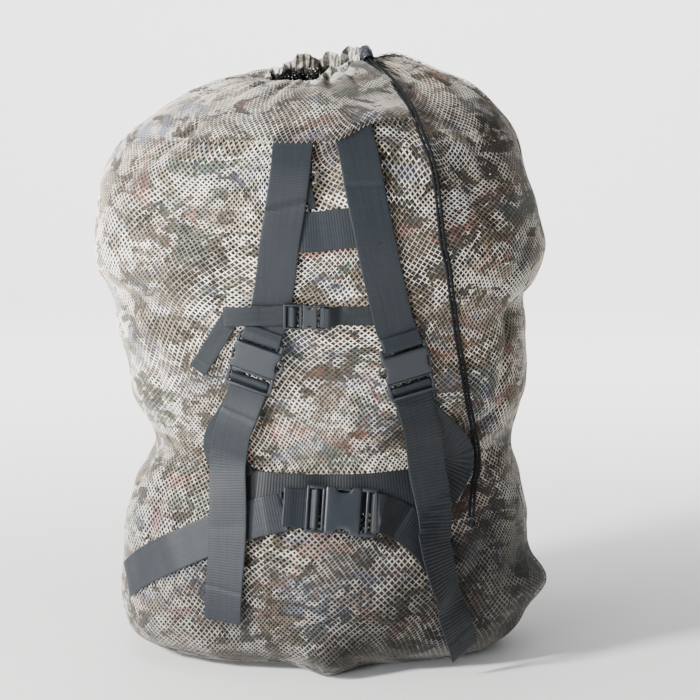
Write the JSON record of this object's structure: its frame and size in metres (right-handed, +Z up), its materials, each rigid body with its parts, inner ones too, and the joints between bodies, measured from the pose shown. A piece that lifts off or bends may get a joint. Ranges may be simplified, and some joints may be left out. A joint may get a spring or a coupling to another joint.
{
  "type": "decoy bag",
  "caption": "Tall open mesh sack with a drawn mouth, wide webbing shoulder straps, and chest and waist straps closed by side-release buckles; stands filled out on its base.",
  "frame": {"origin": "on the floor under the middle of the bag's box, cord left out", "axes": "+Z up, the harness side faces -Y, +X to the right of the harness side as seen from the front"},
  "size_m": [0.6016, 0.4332, 0.8038],
  "materials": {
    "camouflage_net": "matt knitted mesh with a soft mottled camouflage print",
    "black_webbing": "woven polypropylene webbing, blue-black, slightly shiny",
    "buckle_plastic": "satin moulded",
    "black_cord": "braided cord",
    "nickel": "bright nickel plated wire"
  },
  "bodies": {
    "root": {"net_bag": "camouflage_net", "mouth_casing": "camouflage_net", "shoulder_buckle_left_socket": "buckle_plastic", "shoulder_buckle_left_plug": "buckle_plastic", "shoulder_buckle_right_socket": "buckle_plastic", "shoulder_buckle_right_plug": "buckle_plastic", "waist_buckle_socket": "buckle_plastic", "waist_buckle_plug": "buckle_plastic", "chest_buckle_socket": "buckle_plastic", "chest_buckle_plug": "buckle_plastic", "crossband": "black_webbing", "waist_band": "black_webbing", "shoulder_strap_left": "black_webbing", "shoulder_strap_right": "black_webbing", "adjusting_strap_left": "black_webbing", "adjusting_strap_right": "black_webbing", "waist_belt_left": "black_webbing", "waist_belt_right": "black_webbing", "chest_strap_left": "black_webbing", "chest_strap_right": "black_webbing", "hang_tab": "black_webbing", "ring_tab": "black_webbing", "hang_ring": "nickel", "drawcord_strand_left": "black_cord", "drawcord_strand_right": "black_cord", "cord_knot": "black_cord", "cord_lock": "buckle_plastic"}
  },
  "joints": []
}
